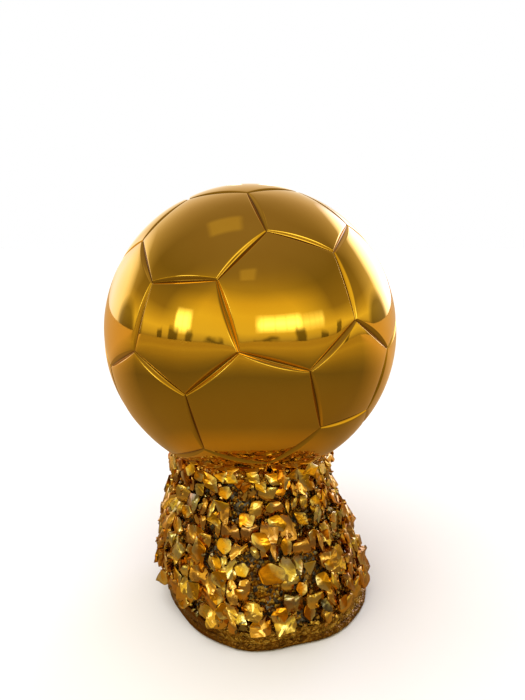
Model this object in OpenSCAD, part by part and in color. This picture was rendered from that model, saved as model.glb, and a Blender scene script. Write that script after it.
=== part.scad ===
// Football trophy: a polished hollow brass ball, chased with panel seams,
// bolted into the cup of a rock-shaped base that is clad in gilded chips.
// Units are millimetres. +Z is up, the ball's axis is x = y = 0, the felt
// underside is z = 0 and the front of the trophy faces -Y.

/* [Ball] */
// Outside diameter of the ball
ball_d = 176; // [170:1:184]
// Wall thickness of the two half shells
wall_t = 3; // [2.5:0.1:4]
// Depth of a panel seam at the middle of its length
seam_depth = 1.4; // [0.6:0.1:1.8]
// Half width of a seam for each millimetre of its depth
seam_slope = 2.2; // [1:0.1:3]

/* [Base] */
// Radius of the ring where the ball meets the base
seat_r = 49; // [47:0.5:51]
// Height of that ring above the table
seat_z = 99; // [99:0.5:102]
// Mean radius of the footprint
foot_r = 66.3; // [62:0.1:72]
// How far the rock leans out to the right at the foot
foot_shift = 10.6; // [0:0.1:12]
// Chips in one course
chips_per_row = 32; // [24:1:40]
// Largest gap between chips, as a share of their width
chip_gap = 0.19; // [0.1:0.01:0.35]
// Outward tilt of the lower edge of a chip, per millimetre of height
chip_flare = 0.12; // [0:0.01:0.5]
// Share of the places that hold two small chips instead of one large one
chip_split = 0.32; // [0:0.05:1]
// Choice of chip pattern
chip_seed = 12; // [1:1:99]

/* [Fixings] */
// Diameter of the clamping stud
stud_d = 8; // [6:1:10]
// Clear gap round glued and sliding fits
fit_gap = 0.05; // [0.02:0.01:0.1]
// Radius of the cavity under the base
cavity_r = 34; // [30:1:36]
// Thickness of the ballast disc
ballast_t = 10; // [6:1:12]

/* [Hidden] */
$fn = 96;

gold = [0.93, 0.68, 0.22];
amber = [0.72, 0.44, 0.10];
bronze = [0.50, 0.33, 0.12];
steel = [0.62, 0.63, 0.65];
dark = [0.16, 0.13, 0.09];

// Heights of the base, counted up from the table
felt_t = 2;
plate_lip_z = 0.5;
plate_top_z = 5;
cavity_top_z = 30;
chip_top_z = 93;
core_top_z = 96;
collar_top_z = 98.4;
course_count = 8;

// Ball
ball_r = ball_d / 2;
ball_z = seat_z + sqrt(ball_r * ball_r - seat_r * seat_r);
inner_r = ball_r - wall_t;
cup_r = ball_r + 1;
ball_turn = [0.61, 16.46, 8.93];
seam_ease = 400;
seam_cut = 4;
seam_sweep = 4.7;
sleeve_h = 16;
sleeve_t = 1.6;
boss_r = 22;
boss_top_z = 96;
pin_r = 2;
pin_x = 25;

// Clamping stack
stud_r = stud_d / 2;
stud_foot_z = 8;
stud_top_z = 106;
nut_af = 13;
nut_t = 6.5;
washer_r = 12;
washer_t = 2;
ballast_r = 31;
washer_z = cavity_top_z - ballast_t - washer_t;
spring_z = washer_z - washer_t;
lock_z = spring_z - nut_t;

// Underside
screw_ring_r = 41;
screw_r = 1.95;
screw_head_r = 3.9;
screw_top_z = 14;
felt_inset = 6;
foot_round = 1.2;

// Rock profile, as [height, value]: mean radius, sideways shift, and the
// depth of the chip layer over the core
rock_radius = [[0, foot_r], [5, foot_r + 0.4], [13, 69.4], [27, 68.6], [49, 63.4],
    [71, 55.4], [84, 51.6], [93, 50.6], [99, 50.4]];
rock_shift = [[0, foot_shift], [13, 8.6], [27, 5.6], [49, 2.2], [71, 0], [99, 0]];
chip_layer = [[0, 7.4], [70, 7.4], [84, 6], [93, 3.8], [99, 2.6]];
// Hollows in the outline at the foot, as [direction, depth, width in degrees]
foot_dents = [[-140, 2, 18], [-66, 2.8, 12], [-93, -1, 8], [60, 3, 14], [118, -2, 16], [160, 3, 15]];
dent_fade = [[0, 1], [13, 0.5], [40, 0], [99, 0]];
glue_gap = 0.6;
course_wave = 1.4;
// Where the lowest chips stop short and leave the foot bare: direction, width and extra height
bare_at = -143;
bare_width = 24;
bare_rise = 7;
column_count = 72;

noise_count = 4000;
noise = rands(-1, 1, noise_count, chip_seed);
function wob(k, i, s) = noise[(k * 131 + i * 17 + s * 1009) % noise_count];

// ---- the ball ----------------------------------------------------------

phi = (1 + sqrt(5)) / 2;
corner_kinds = [[0, 1, 3 * phi], [1, 2 + phi, 2 * phi], [phi, 2, 2 * phi + 1]];
function cycled(p) = [p, [p[1], p[2], p[0]], [p[2], p[0], p[1]]];
function turned_x(v, a) = [v[0], v[1] * cos(a) - v[2] * sin(a), v[1] * sin(a) + v[2] * cos(a)];
function turned_y(v, a) = [v[0] * cos(a) + v[2] * sin(a), v[1], v[2] * cos(a) - v[0] * sin(a)];
function turned_z(v, a) = [v[0] * cos(a) - v[1] * sin(a), v[0] * sin(a) + v[1] * cos(a), v[2]];
function turned(v) = turned_z(turned_y(turned_x(v, ball_turn[0]), ball_turn[1]), ball_turn[2]);

// The sixty corners and ninety seams of twelve pentagons and twenty hexagons
corners = [for (b = corner_kinds, sx = b[0] == 0 ? [1] : [1, -1], sy = [1, -1], sz = [1, -1])
    for (q = cycled([sx * b[0], sy * b[1], sz * b[2]])) turned(q / norm(b))];
seam_span = 2 / norm(corner_kinds[0]);
seams = [for (i = [0 : len(corners) - 2]) for (j = [i + 1 : len(corners) - 1])
    if (norm(corners[i] - corners[j]) < seam_span * 1.05) [corners[i], corners[j]]];

// A V-shaped cutter along one seam. Its arc is flatter than the ball, so the
// seam is deepest and widest at mid length and fades out just before its corners.
module seam_cutter(a, b) {
    m = (a + b) / norm(a + b);
    k = cross(a, b) / norm(cross(a, b));
    t = cross(k, m);
    root_r = ball_r - seam_depth + seam_ease;
    multmatrix([[m[0], t[0], k[0], -seam_ease * m[0]], [m[1], t[1], k[1], -seam_ease * m[1]],
            [m[2], t[2], k[2], -seam_ease * m[2]], [0, 0, 0, 1]])
        rotate([0, 0, -seam_sweep / 2])
            rotate_extrude(angle = seam_sweep, $fn = 200)
                polygon([[root_r, 0], [root_r + seam_cut, seam_cut * seam_slope],
                    [root_r + seam_cut, -seam_cut * seam_slope]]);
}

module half_shell(side) {
    difference() {
        intersection() {
            sphere(ball_r, $fn = 128);
            translate([-ball_r, -ball_r, side > 0 ? 0 : -ball_r]) cube([ball_d, ball_d, ball_r]);
        }
        sphere(inner_r, $fn = 128);
        for (s = seams) if (side * (s[0] + s[1])[2] > -0.4) seam_cutter(s[0], s[1]);
    }
}

module ball_upper_shell() {
    color(gold) translate([0, 0, ball_z]) half_shell(1);
}

module ball_lower_shell() {
    color(gold) difference() {
        translate([0, 0, ball_z]) half_shell(-1);
        translate([0, 0, ball_z - ball_r - 1]) cylinder(r = stud_r + 0.5, h = 8);
        translate([pin_x, 0, ball_z - ball_r - 1]) cylinder(r = pin_r + fit_gap, h = 12);
    }
}

module ball_joint_sleeve() {
    color(steel) translate([0, 0, ball_z]) difference() {
        intersection() {
            sphere(inner_r - fit_gap);
            translate([-ball_r, -ball_r, -sleeve_h / 2]) cube([ball_d, ball_d, sleeve_h]);
        }
        sphere(inner_r - sleeve_t);
    }
}

module ball_boss() {
    color(steel) difference() {
        intersection() {
            translate([0, 0, ball_z]) sphere(inner_r - fit_gap);
            cylinder(r = boss_r, h = boss_top_z);
        }
        cylinder(r = stud_r + 0.2, h = boss_top_z + 1);
    }
}

// ---- fixings -----------------------------------------------------------

module hex_nut(z) {
    translate([0, 0, z]) difference() {
        intersection() {
            cylinder(r = nut_af / 2 / cos(30), h = nut_t, $fn = 6);
            cylinder(r1 = nut_af / 2 + nut_t, r2 = nut_af / 2, h = nut_t);
        }
        translate([0, 0, -1]) cylinder(r = stud_r + fit_gap, h = nut_t + 2);
    }
}

module washer(z, outer_r, t) {
    translate([0, 0, z]) difference() {
        cylinder(r = outer_r, h = t);
        translate([0, 0, -1]) cylinder(r = stud_r + 0.2, h = t + 2);
    }
}

module boss_nut() {
    color(steel) hex_nut(boss_top_z);
}

module tie_stud() {
    color(steel) translate([0, 0, stud_foot_z]) {
        cylinder(r1 = stud_r - 1, r2 = stud_r, h = 1);
        translate([0, 0, 1]) cylinder(r = stud_r, h = stud_top_z - stud_foot_z - 2);
        translate([0, 0, stud_top_z - stud_foot_z - 1]) cylinder(r1 = stud_r, r2 = stud_r - 1, h = 1);
    }
}

module locating_pin() {
    color(steel) translate([pin_x, 0, 75]) cylinder(r = pin_r, h = 18);
}

module ballast_disc() {
    color(dark) washer(cavity_top_z - ballast_t, ballast_r, ballast_t);
}

module clamp_washer() {
    color(steel) washer(washer_z, washer_r, washer_t);
}

module spring_washer() {
    color(steel) translate([0, 0, spring_z]) rotate_extrude(angle = 352)
        translate([stud_r + 0.1, 0]) square([3.2, washer_t]);
}

module lock_nut() {
    color(steel) hex_nut(lock_z);
}

// ---- the rock ----------------------------------------------------------

function around(a) = a > 180 ? a - 360 : a <= -180 ? a + 360 : a;
function dent(a) = let (d = [for (q = foot_dents) q[1] * exp(-pow(around(a - q[0]) / q[2], 2))])
    d * [for (q = foot_dents) 1];
function rock(a, z) = lookup(z, rock_radius) + lookup(z, rock_shift) * cos(a)
    - dent(around(a)) * lookup(z, dent_fade);
function under_chips(a, z) = rock(a, z) - lookup(z, chip_layer);
function polar(r, a, z) = [r * cos(a), r * sin(a), z];
function course_z(k, a) = let (low = 11 + 1.5 * cos(a + 85) + bare_rise * exp(-pow(around(a - bare_at) / bare_width, 2)))
    low + (chip_top_z - low) * k / course_count
        + (k > 0 && k < course_count ? course_wave * sin(3 * a + 100 * k) : 0);
function column(i) = i * 360 / column_count - 180;

// A skin over stacked rows of points. A ring is joined from its last row
// back to its first, anything else is closed by a flat cap at each end.
module skin(rows, ring) {
    n = len(rows[0]);
    m = len(rows);
    walls = [for (r = [0 : m - (ring ? 1 : 2)], i = [0 : n - 1])
        let (p = r * n, q = ((r + 1) % m) * n, j = (i + 1) % n)
            each [[p + i, q + i, q + j], [p + i, q + j, p + j]]];
    caps = ring ? [] : [[for (i = [0 : n - 1]) i], [for (i = [n - 1 : -1 : 0]) (m - 1) * n + i]];
    polyhedron([for (row = rows) each row], concat(walls, caps), convexity = 6);
}

module base_core() {
    heights = [plate_top_z, 13, 27, 38, 49, 60, 71, 84, 90, core_top_z];
    rows = [for (h = [0 : len(heights) - 1]) [for (i = [0 : column_count - 1])
        polar(under_chips(column(i), heights[h]) - 0.4 - 0.4 * wob(h, i, 5), column(i), heights[h])]];
    color(dark) difference() {
        skin(rows, false);
        translate([0, 0, ball_z]) sphere(cup_r);
        translate([0, 0, plate_top_z - 1]) cylinder(r = cavity_r, h = cavity_top_z - plate_top_z + 1);
        cylinder(r = stud_r + 0.5, h = ball_z);
        translate([pin_x, 0, 75]) cylinder(r = pin_r + fit_gap, h = 18);
        screw_places() cylinder(r = screw_r + fit_gap, h = screw_top_z + 1);
    }
}

// Brick-bonded joints between the chips: each lies at the same wandering
// point for the chips on all its sides
function joint(k, i) = let (n = 2 * chips_per_row, j = (i + n) % n,
    a = (i + 0.3 * wob(k, j, 0)) * 360 / n,
    end_row = k == 0 || k == course_count)
    [a, course_z(k, a) + (end_row ? 0.5 : 2.6) * wob(k, j, 1)];

// Share of a side lost where its corner is knocked off. An inward corner stays.
function knocked(p, m, w) = let (n = len(p), a = p[(m + n - 1) % n], b = p[m % n], c = p[(m + 1) % n])
    (b[0] - a[0]) * (c[1] - b[1]) > (b[1] - a[1]) * (c[0] - b[0]) ? 0.27 + 0.12 * w : 0.04;

// A chip fills most of its place between the joints, with its corners knocked
// off. Its face is a low uneven dome that leans its own way, mostly downwards.
module chip(place, k, j) {
    n = len(place);
    mid = [for (d = [0, 1]) ([for (p = place) p[d]] * [for (p = place) 1]) / n];
    size = 1 - chip_gap * (0.65 + 0.35 * wob(k, j, 2));
    blank = [for (p = place) mid + (p - mid) * size];
    outline = [for (m = [0 : n - 1]) let (p = blank[m], q = blank[(m + 1) % n])
        each [p + (q - p) * knocked(blank, m, wob(k, j + m, 10)),
            q + (p - q) * knocked(blank, m + 1, wob(k, j + m, 11))]];
    c = 2 * n;
    sunk = 1.8 + 1.7 * wob(k, j, 3);
    lean = -0.2 - chip_flare + 0.42 * wob(k, j, 4);
    twist = 0.55 * wob(k, j, 6);
    face_r = rock(mid[0], mid[1]) - sunk;
    outer = [for (m = [0 : c - 1]) let (p = outline[m]) polar(
        max(face_r + lean * (p[1] - mid[1]) + twist * (p[0] - mid[0]) * PI / 180 * face_r
            + 0.35 * wob(k, j + m, 12), under_chips(p[0], p[1]) + 1.6), p[0], p[1])];
    inner = [for (p = outline) polar(under_chips(p[0], p[1]) + glue_gap, p[0], p[1])];
    peak = polar(face_r + 0.5, mid[0], mid[1]);
    polyhedron(concat(outer, inner, [peak]), [for (m = [0 : c - 1]) let (q = (m + 1) % c)
        each [[2 * c, q, m], [m, q, c + q], [m, c + q, c + m], if (m > 0 && m < c - 1) [c, c + m, c + q]]]);
}

module course(number) {
    k = number - 1;
    color(number % 2 == 0 ? gold : amber) for (j = [0 : chips_per_row - 1]) {
        i = 2 * j + k % 2;
        low = [joint(k, i), joint(k, i + 1), joint(k, i + 2)];
        high = [joint(k + 1, i), joint(k + 1, i + 1), joint(k + 1, i + 2)];
        if (wob(k, j, 9) > 1 - 2 * chip_split) {
            chip([low[0], low[1], high[1], high[0]], k, j);
            chip([low[1], low[2], high[2], high[1]], k, j + chips_per_row);
        } else {
            chip([low[0], low[1], low[2], high[2], high[1], high[0]], k, j);
        }
    }
}

module chips_course_1() { course(1); }
module chips_course_2() { course(2); }
module chips_course_3() { course(3); }
module chips_course_4() { course(4); }
module chips_course_5() { course(5); }
module chips_course_6() { course(6); }
module chips_course_7() { course(7); }
module chips_course_8() { course(8); }

module collar_grit() {
    low = chip_top_z + 0.8;
    bore_r = seat_r + 0.6;
    color(amber) skin([
        [for (i = [0 : column_count - 1]) polar(bore_r + 1.7 + 0.3 * wob(1, i, 7), column(i), low)],
        [for (i = [0 : column_count - 1]) polar(bore_r + 2.1 + 0.4 * wob(2, i, 7), column(i), low + 2)],
        [for (i = [0 : column_count - 1]) polar(bore_r + 1.5 + 0.3 * wob(3, i, 7), column(i),
            collar_top_z - 0.6 + 0.5 * wob(4, i, 7))],
        [for (i = [0 : column_count - 1]) polar(bore_r, column(i), collar_top_z)],
        [for (i = [0 : column_count - 1]) polar(bore_r, column(i), low)]], true);
}

module foil_band() {
    color(bronze) skin(concat(
        [for (t = [0, 0.35, 0.7, 1]) [for (i = [0 : column_count - 1])
            let (a = column(i), z = plate_top_z + (course_z(0, a) - 1.4 - plate_top_z) * t)
                polar(rock(a, z) - 1.8 - 1.5 * t + 0.8 * wob(round(t * 9), i, 8), a, z)]],
        [for (t = [1, 0]) [for (i = [0 : column_count - 1])
            let (a = column(i), z = plate_top_z + (course_z(0, a) - 1.4 - plate_top_z) * t)
                polar(under_chips(a, z) + glue_gap, a, z)]]), true);
}

// ---- the seat and the underside ----------------------------------------

module seat_ring() {
    color(amber) difference() {
        intersection() {
            translate([0, 0, ball_z]) sphere(cup_r - fit_gap);
            cylinder(r = seat_r - 0.8, h = seat_z);
        }
        translate([0, 0, ball_z]) sphere(ball_r + fit_gap);
        cylinder(r = 31, h = seat_z);
    }
}

module foot_outline(inset) {
    polygon([for (i = [0 : column_count - 1]) let (p = polar(rock(column(i), 0) - inset, column(i), 0))
        [p[0], p[1]]]);
}

module screw_places() {
    for (a = [45 : 90 : 315]) rotate([0, 0, a]) translate([screw_ring_r, 0, 0]) children();
}

module plinth_plate() {
    steps = [[foot_round, plate_lip_z], [0.3, plate_lip_z + 0.9], [0, 2.4], [0.2, 3.8], [foot_round, plate_top_z]];
    color(bronze) difference() {
        skin([for (s = steps) [for (i = [0 : column_count - 1])
            polar(rock(column(i), 0) - s[0], column(i), s[1])]], false);
        translate([0, 0, -1]) linear_extrude(felt_t + 1) foot_outline(felt_inset);
        screw_places() {
            cylinder(r = screw_r + 0.3, h = plate_top_z + 1);
            translate([0, 0, felt_t - 1]) cylinder(r = screw_head_r + 0.1, h = 1.1);
            translate([0, 0, felt_t + 0.1])
                cylinder(r1 = screw_head_r + 0.1, r2 = screw_r + 0.1, h = screw_head_r - screw_r);
        }
    }
}

module plate_screws() {
    color(steel) screw_places() difference() {
        union() {
            translate([0, 0, felt_t + 0.1]) cylinder(r1 = screw_head_r, r2 = screw_r, h = screw_head_r - screw_r);
            translate([0, 0, felt_t + 1]) cylinder(r = screw_r, h = screw_top_z - felt_t - 1);
        }
        translate([0, 0, felt_t]) cylinder(r = 1.3, h = 1.3, $fn = 6);
    }
}

module felt_pad() {
    color(dark) linear_extrude(felt_t) foot_outline(felt_inset + 0.3);
}

ball_upper_shell();
ball_lower_shell();
ball_joint_sleeve();
ball_boss();
boss_nut();
tie_stud();
locating_pin();
seat_ring();
base_core();
chips_course_1();
chips_course_2();
chips_course_3();
chips_course_4();
chips_course_5();
chips_course_6();
chips_course_7();
chips_course_8();
collar_grit();
foil_band();
plinth_plate();
plate_screws();
ballast_disc();
clamp_washer();
spring_washer();
lock_nut();
felt_pad();
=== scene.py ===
"""Football trophy: a mirror-gold ball seated on a rock clad in gilded chips."""

import math
import random

import bpy
import numpy as np
from mathutils import Euler, Matrix, Vector
from mathutils.bvhtree import BVHTree


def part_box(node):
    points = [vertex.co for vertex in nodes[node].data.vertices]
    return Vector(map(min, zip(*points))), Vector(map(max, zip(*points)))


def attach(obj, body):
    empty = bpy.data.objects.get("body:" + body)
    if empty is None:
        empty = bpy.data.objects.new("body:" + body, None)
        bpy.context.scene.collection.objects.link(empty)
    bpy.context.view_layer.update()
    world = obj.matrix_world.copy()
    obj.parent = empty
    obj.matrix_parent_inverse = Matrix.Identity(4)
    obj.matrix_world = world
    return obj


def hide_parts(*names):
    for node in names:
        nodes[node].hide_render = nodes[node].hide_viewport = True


MM = 0.001
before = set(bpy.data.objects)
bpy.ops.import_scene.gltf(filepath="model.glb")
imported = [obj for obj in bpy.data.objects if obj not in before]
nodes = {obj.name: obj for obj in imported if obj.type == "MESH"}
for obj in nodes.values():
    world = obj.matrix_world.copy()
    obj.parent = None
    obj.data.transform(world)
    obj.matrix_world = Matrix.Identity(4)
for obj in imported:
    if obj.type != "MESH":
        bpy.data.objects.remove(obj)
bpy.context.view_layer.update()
courses = sorted(name for name in nodes if name.startswith("chips_course_"))

shell_low, shell_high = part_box("ball_upper_shell")
BALL_R = shell_high.z - shell_low.z
BALL_C = Vector((0, 0, shell_low.z))
FOOT_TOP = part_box("plinth_plate")[1].z
COLLAR_LOW, COLLAR_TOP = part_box("collar_grit")[0].z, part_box("collar_grit")[1].z


# ---- camera -------------------------------------------------------------

LENS = 27.05                             # mm, on a frame 36 mm high
CAMERA_AT = Vector((0.0815, -3.683, 0.582))      # from the ball's centre, in ball radii
LOOK_DOWN = 11                           # degrees


def place_camera():
    """A short lens held close, looking a little down at the ball."""
    data = bpy.data.cameras.new("trophy_camera")
    data.sensor_fit = "VERTICAL"
    data.sensor_height = 36
    data.lens = LENS
    data.clip_start = 0.01
    data.clip_end = 200
    camera = bpy.data.objects.new("trophy_camera", data)
    camera.location = BALL_C + BALL_R * CAMERA_AT
    camera.rotation_euler = (math.radians(90 - LOOK_DOWN), 0, 0)
    bpy.context.collection.objects.link(camera)
    bpy.context.scene.camera = camera


# ---- small helpers ------------------------------------------------------

def only(piece):
    """Select and activate one object and nothing else."""
    bpy.ops.object.select_all(action="DESELECT")
    piece.select_set(True)
    bpy.context.view_layer.objects.active = piece


def edit(piece, step):
    """Run an edit-mode step on everything in one object."""
    only(piece)
    bpy.ops.object.mode_set(mode="EDIT")
    bpy.ops.mesh.select_all(action="SELECT")
    step()
    bpy.ops.object.mode_set(mode="OBJECT")


def pick(piece, kind, chosen):
    """Go into edit mode with only the chosen vertices, edges or faces selected."""
    only(piece)
    bpy.ops.object.mode_set(mode="EDIT")
    bpy.ops.mesh.select_mode(type=kind)
    bpy.ops.mesh.select_all(action="DESELECT")
    bpy.ops.object.mode_set(mode="OBJECT")
    mesh = piece.data
    for part in {"VERT": mesh.vertices, "EDGE": mesh.edges, "FACE": mesh.polygons}[kind]:
        part.select = chosen(part)
    bpy.ops.object.mode_set(mode="EDIT")


def smooth(piece, angle):
    """Shade as one the faces that meet flatter than the angle."""
    only(piece)
    bpy.ops.object.shade_smooth_by_angle(angle=angle)


def apply_modifiers(piece):
    """Make all of a piece's modifiers part of its mesh."""
    only(piece)
    for modifier in list(piece.modifiers):
        bpy.ops.object.modifier_apply(modifier=modifier.name)


def settle(piece):
    """Put an object's place into its mesh."""
    only(piece)
    bpy.ops.object.transform_apply(location=True, rotation=True, scale=True)


def copy_of(node, name):
    """A merged copy of a CAD node, ready to be refined."""
    piece = nodes[node].copy()
    piece.data = nodes[node].data.copy()
    piece.name = piece.data.name = name
    piece.parent = None
    piece.matrix_world = Matrix.Identity(4)
    piece.data.materials.clear()
    bpy.context.collection.objects.link(piece)
    edit(piece, lambda: bpy.ops.mesh.remove_doubles(threshold=0.00001))
    return piece


def finish_piece(piece, material, slot, *replaced):
    """Give a piece its material and its body, and hide the CAD nodes it stands for. The slot is not used.
    """
    piece.data.materials.clear()
    piece.data.materials.append(material)
    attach(piece, "root")
    if replaced:
        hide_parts(*replaced)


def coordinates(mesh):
    """The places of a mesh's points, one row for each."""
    flat = np.empty(len(mesh.vertices) * 3)
    mesh.vertices.foreach_get("co", flat)
    return flat.reshape(-1, 3)


def set_coordinates(mesh, points):
    mesh.vertices.foreach_set("co", np.ascontiguousarray(points, dtype=np.float32).ravel())
    mesh.update()


def set_attribute(mesh, name, values):
    """Store one number for each point, for a material to read."""
    layer = mesh.attributes.get(name) or mesh.attributes.new(name, "FLOAT", "POINT")
    layer.data.foreach_set("value", np.asarray(values, dtype=np.float32))


# ---- materials ----------------------------------------------------------

class Nodes:
    """A short way to write a node tree."""

    def __init__(self, tree):
        self.tree = tree

    def add(self, kind, inputs=None, **settings):
        node = self.tree.nodes.new(kind)
        for key, value in settings.items():
            setattr(node, key, value)
        for key, value in (inputs or {}).items():
            if isinstance(value, bpy.types.NodeSocket):
                self.tree.links.new(value, node.inputs[key])
            else:
                node.inputs[key].default_value = value
        return node

    def ramp(self, factor, stops, interpolation="LINEAR"):
        node = self.add("ShaderNodeValToRGB", {"Fac": factor})
        ramp = node.color_ramp
        ramp.interpolation = interpolation
        while len(ramp.elements) < len(stops):
            ramp.elements.new(1)
        for element, (place, colour) in zip(ramp.elements, stops):
            element.position = place
            element.color = (*colour, 1)
        return node.outputs["Color"]

    def noise(self, vector, scale, detail, roughness, distortion=0.0):
        inputs = {"Vector": vector, "Scale": scale, "Detail": detail, "Roughness": roughness,
                  "Distortion": distortion}
        return self.add("ShaderNodeTexNoise", inputs).outputs["Fac"]

    def spread(self, factor, low, high, to_low=0.0, to_high=1.0):
        return self.add("ShaderNodeMapRange", {"Value": factor, "From Min": low, "From Max": high,
                                               "To Min": to_low, "To Max": to_high}).outputs["Result"]

    def mix(self, factor, a, b):
        node = self.add("ShaderNodeMix", data_type="RGBA")
        # sockets 0, 6 and 7 of a colour mix are its factor and its two colours
        for key, value in ((0, factor), (6, a), (7, b)):
            if isinstance(value, bpy.types.NodeSocket):
                self.tree.links.new(value, node.inputs[key])
            elif key:
                node.inputs[key].default_value = (*value, 1)
            else:
                node.inputs[key].default_value = value
        return node.outputs[2]

    def maths(self, operation, a, b=0.0):
        return self.add("ShaderNodeMath", {0: a, 1: b}, operation=operation).outputs[0]

    def bump(self, height, strength, distance, normal=None):
        inputs = {"Height": height, "Strength": strength, "Distance": distance}
        if normal:
            inputs["Normal"] = normal
        return self.add("ShaderNodeBump", inputs).outputs["Normal"]

    def dot(self, a, b):
        return self.add("ShaderNodeVectorMath", {0: a, 1: b}, operation="DOT_PRODUCT").outputs["Value"]

    def attribute(self, name):
        return self.add("ShaderNodeAttribute", attribute_name=name).outputs["Fac"]


def new_material(name, **constants):
    """A material, its tree and shader, and the places on the piece that patterns follow."""
    material = bpy.data.materials.new(name)
    material.use_nodes = True
    tree = Nodes(material.node_tree)
    shader = material.node_tree.nodes["Principled BSDF"]
    for key, value in constants.items():
        shader.inputs[key.replace("_", " ")].default_value = value
    place = tree.add("ShaderNodeTexCoord").outputs["Object"]
    return material, tree, shader, place


def plug(tree, shader, **links):
    """Link patterns to the shader's sockets."""
    for key, socket in links.items():
        tree.tree.links.new(socket, shader.inputs[key.replace("_", " ")])


def mirror_gold():
    """Polished gilding with a trace of handling haze, and painted shade in the seams, darkest at their
    bottoms.
    """
    material, tree, shader, place = new_material("mirror_gold", Metallic=1.0)
    haze = tree.noise(place, 26, 4, 0.6)
    seam = tree.attribute("seam")
    gold = tree.ramp(haze, [(0.30, (0.90, 0.53, 0.055)), (0.70, (0.95, 0.59, 0.07))])
    # painted shade: the seams' flanks go a darker gold and their bottoms go near black
    colour = tree.mix(tree.spread(seam, 0.35, 1.0, 0.0, 0.55), gold, (0.50, 0.24, 0.02))
    colour = tree.mix(tree.spread(seam, 0.90, 0.99, 0.0, 0.75), colour, (0.10, 0.045, 0.01))
    rough = tree.spread(tree.noise(place, 60, 5, 0.65), 0.35, 0.75, 0.03, 0.075)
    rough = tree.maths("ADD", rough, tree.maths("MULTIPLY", seam, 0.08))
    wave = tree.noise(place, 34, 2, 0.4)
    grain = tree.noise(place, 900, 2, 0.5)
    normal = tree.bump(wave, 0.25, 0.00035)
    normal = tree.bump(grain, 0.04, 0.00005, normal)
    plug(tree, shader, Base_Color=colour, Roughness=rough, Normal=normal)
    return material


def paint_wall_shade(tree, place, colour):
    """Painted shade: the walls of a chip, which face along the rock and not away from it, are painted
    darker.
    """
    level = tree.add("ShaderNodeVectorMath", {0: place, 1: (1.0, 1.0, 0.0)}, operation="MULTIPLY")
    away = tree.add("ShaderNodeVectorMath", {0: level.outputs[0]}, operation="NORMALIZE")
    facing = tree.add("ShaderNodeTexCoord").outputs["Normal"]
    wall_shade = tree.spread(tree.dot(facing, away.outputs[0]), 0.22, 0.48, 0.35, 0.0)
    return tree.mix(wall_shade, colour, (0.09, 0.045, 0.012))


def chip_gold(name, dull=0.0):
    """Gilded chips: every chip has its own tone, with a painted highlight on the broken edges and rims and,
    unless dull, painted shade on the walls.
    """
    material, tree, shader, place = new_material(name, Metallic=1.0)
    tone = tree.attribute("tone")
    edge = tree.attribute("edge")
    cloud = tree.noise(place, 150, 4, 0.6, 0.4)
    mixed = tree.maths("ADD", tone, tree.spread(cloud, 0.3, 0.7, -0.10, 0.10))
    face = tree.ramp(mixed, [(0.00, (0.07, 0.06, 0.045)), (0.13, (0.34, 0.31, 0.23)),
                             (0.20, (0.36, 0.10, 0.008)), (0.44, (0.74, 0.27, 0.012)),
                             (0.62, (0.92, 0.42, 0.020)), (0.80, (0.96, 0.56, 0.045)),
                             (0.92, (0.98, 0.72, 0.16)), (1.00, (1.0, 0.84, 0.36))])
    # painted highlight, strongest on the broken edges and rims and faint on the rest of the CAD chips
    edge_highlight = tree.mix(tree.spread(edge, 0.35, 1.0, 0.0, 0.9), face, (1.0, 0.86, 0.42))
    stain = tree.spread(tree.noise(place, 420, 5, 0.7), 0.58, 0.74, 0.0, 0.75)
    colour = tree.mix(stain, edge_highlight, (0.10, 0.04, 0.008))
    if dull:
        colour = tree.mix(0.45, colour, (0.50, 0.42, 0.24))
    else:
        colour = paint_wall_shade(tree, place, colour)
    rough = tree.spread(tree.noise(place, 260, 4, 0.6), 0.3, 0.75, 0.08 + dull, 0.24 + dull)
    wave = tree.noise(place, 105, 2, 0.45, 0.6)
    scratch = tree.noise(place, 900, 3, 0.6)
    normal = tree.bump(wave, 0.55, 0.0022)
    normal = tree.bump(scratch, 0.15, 0.0002, normal)
    plug(tree, shader, Base_Color=colour, Roughness=rough, Normal=normal)
    return material


def crevice_bed():
    """The cast rock between the chips: dark, gritty, with gilt specks and grey bits."""
    material, tree, shader, place = new_material("crevice_bed")
    cells = tree.add("ShaderNodeTexVoronoi", {"Vector": place, "Scale": 520.0, "Randomness": 1.0})
    speck = tree.add("ShaderNodeSeparateColor", {"Color": cells.outputs["Color"]}).outputs["Red"]
    colour = tree.ramp(speck, [(0.0, (0.030, 0.020, 0.010)), (0.25, (0.10, 0.065, 0.025)),
                               (0.40, (0.20, 0.18, 0.13)), (0.52, (0.55, 0.26, 0.025)),
                               (0.82, (0.88, 0.58, 0.12))], "CONSTANT")
    metal = tree.spread(speck, 0.48, 0.54)
    height = tree.spread(cells.outputs["Distance"], 0.0, 0.8, 1.0, 0.0)
    normal = tree.bump(height, 0.9, 0.0012)
    plug(tree, shader, Base_Color=colour, Metallic=metal, Normal=normal)
    shader.inputs["Roughness"].default_value = 0.42
    return material


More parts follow.
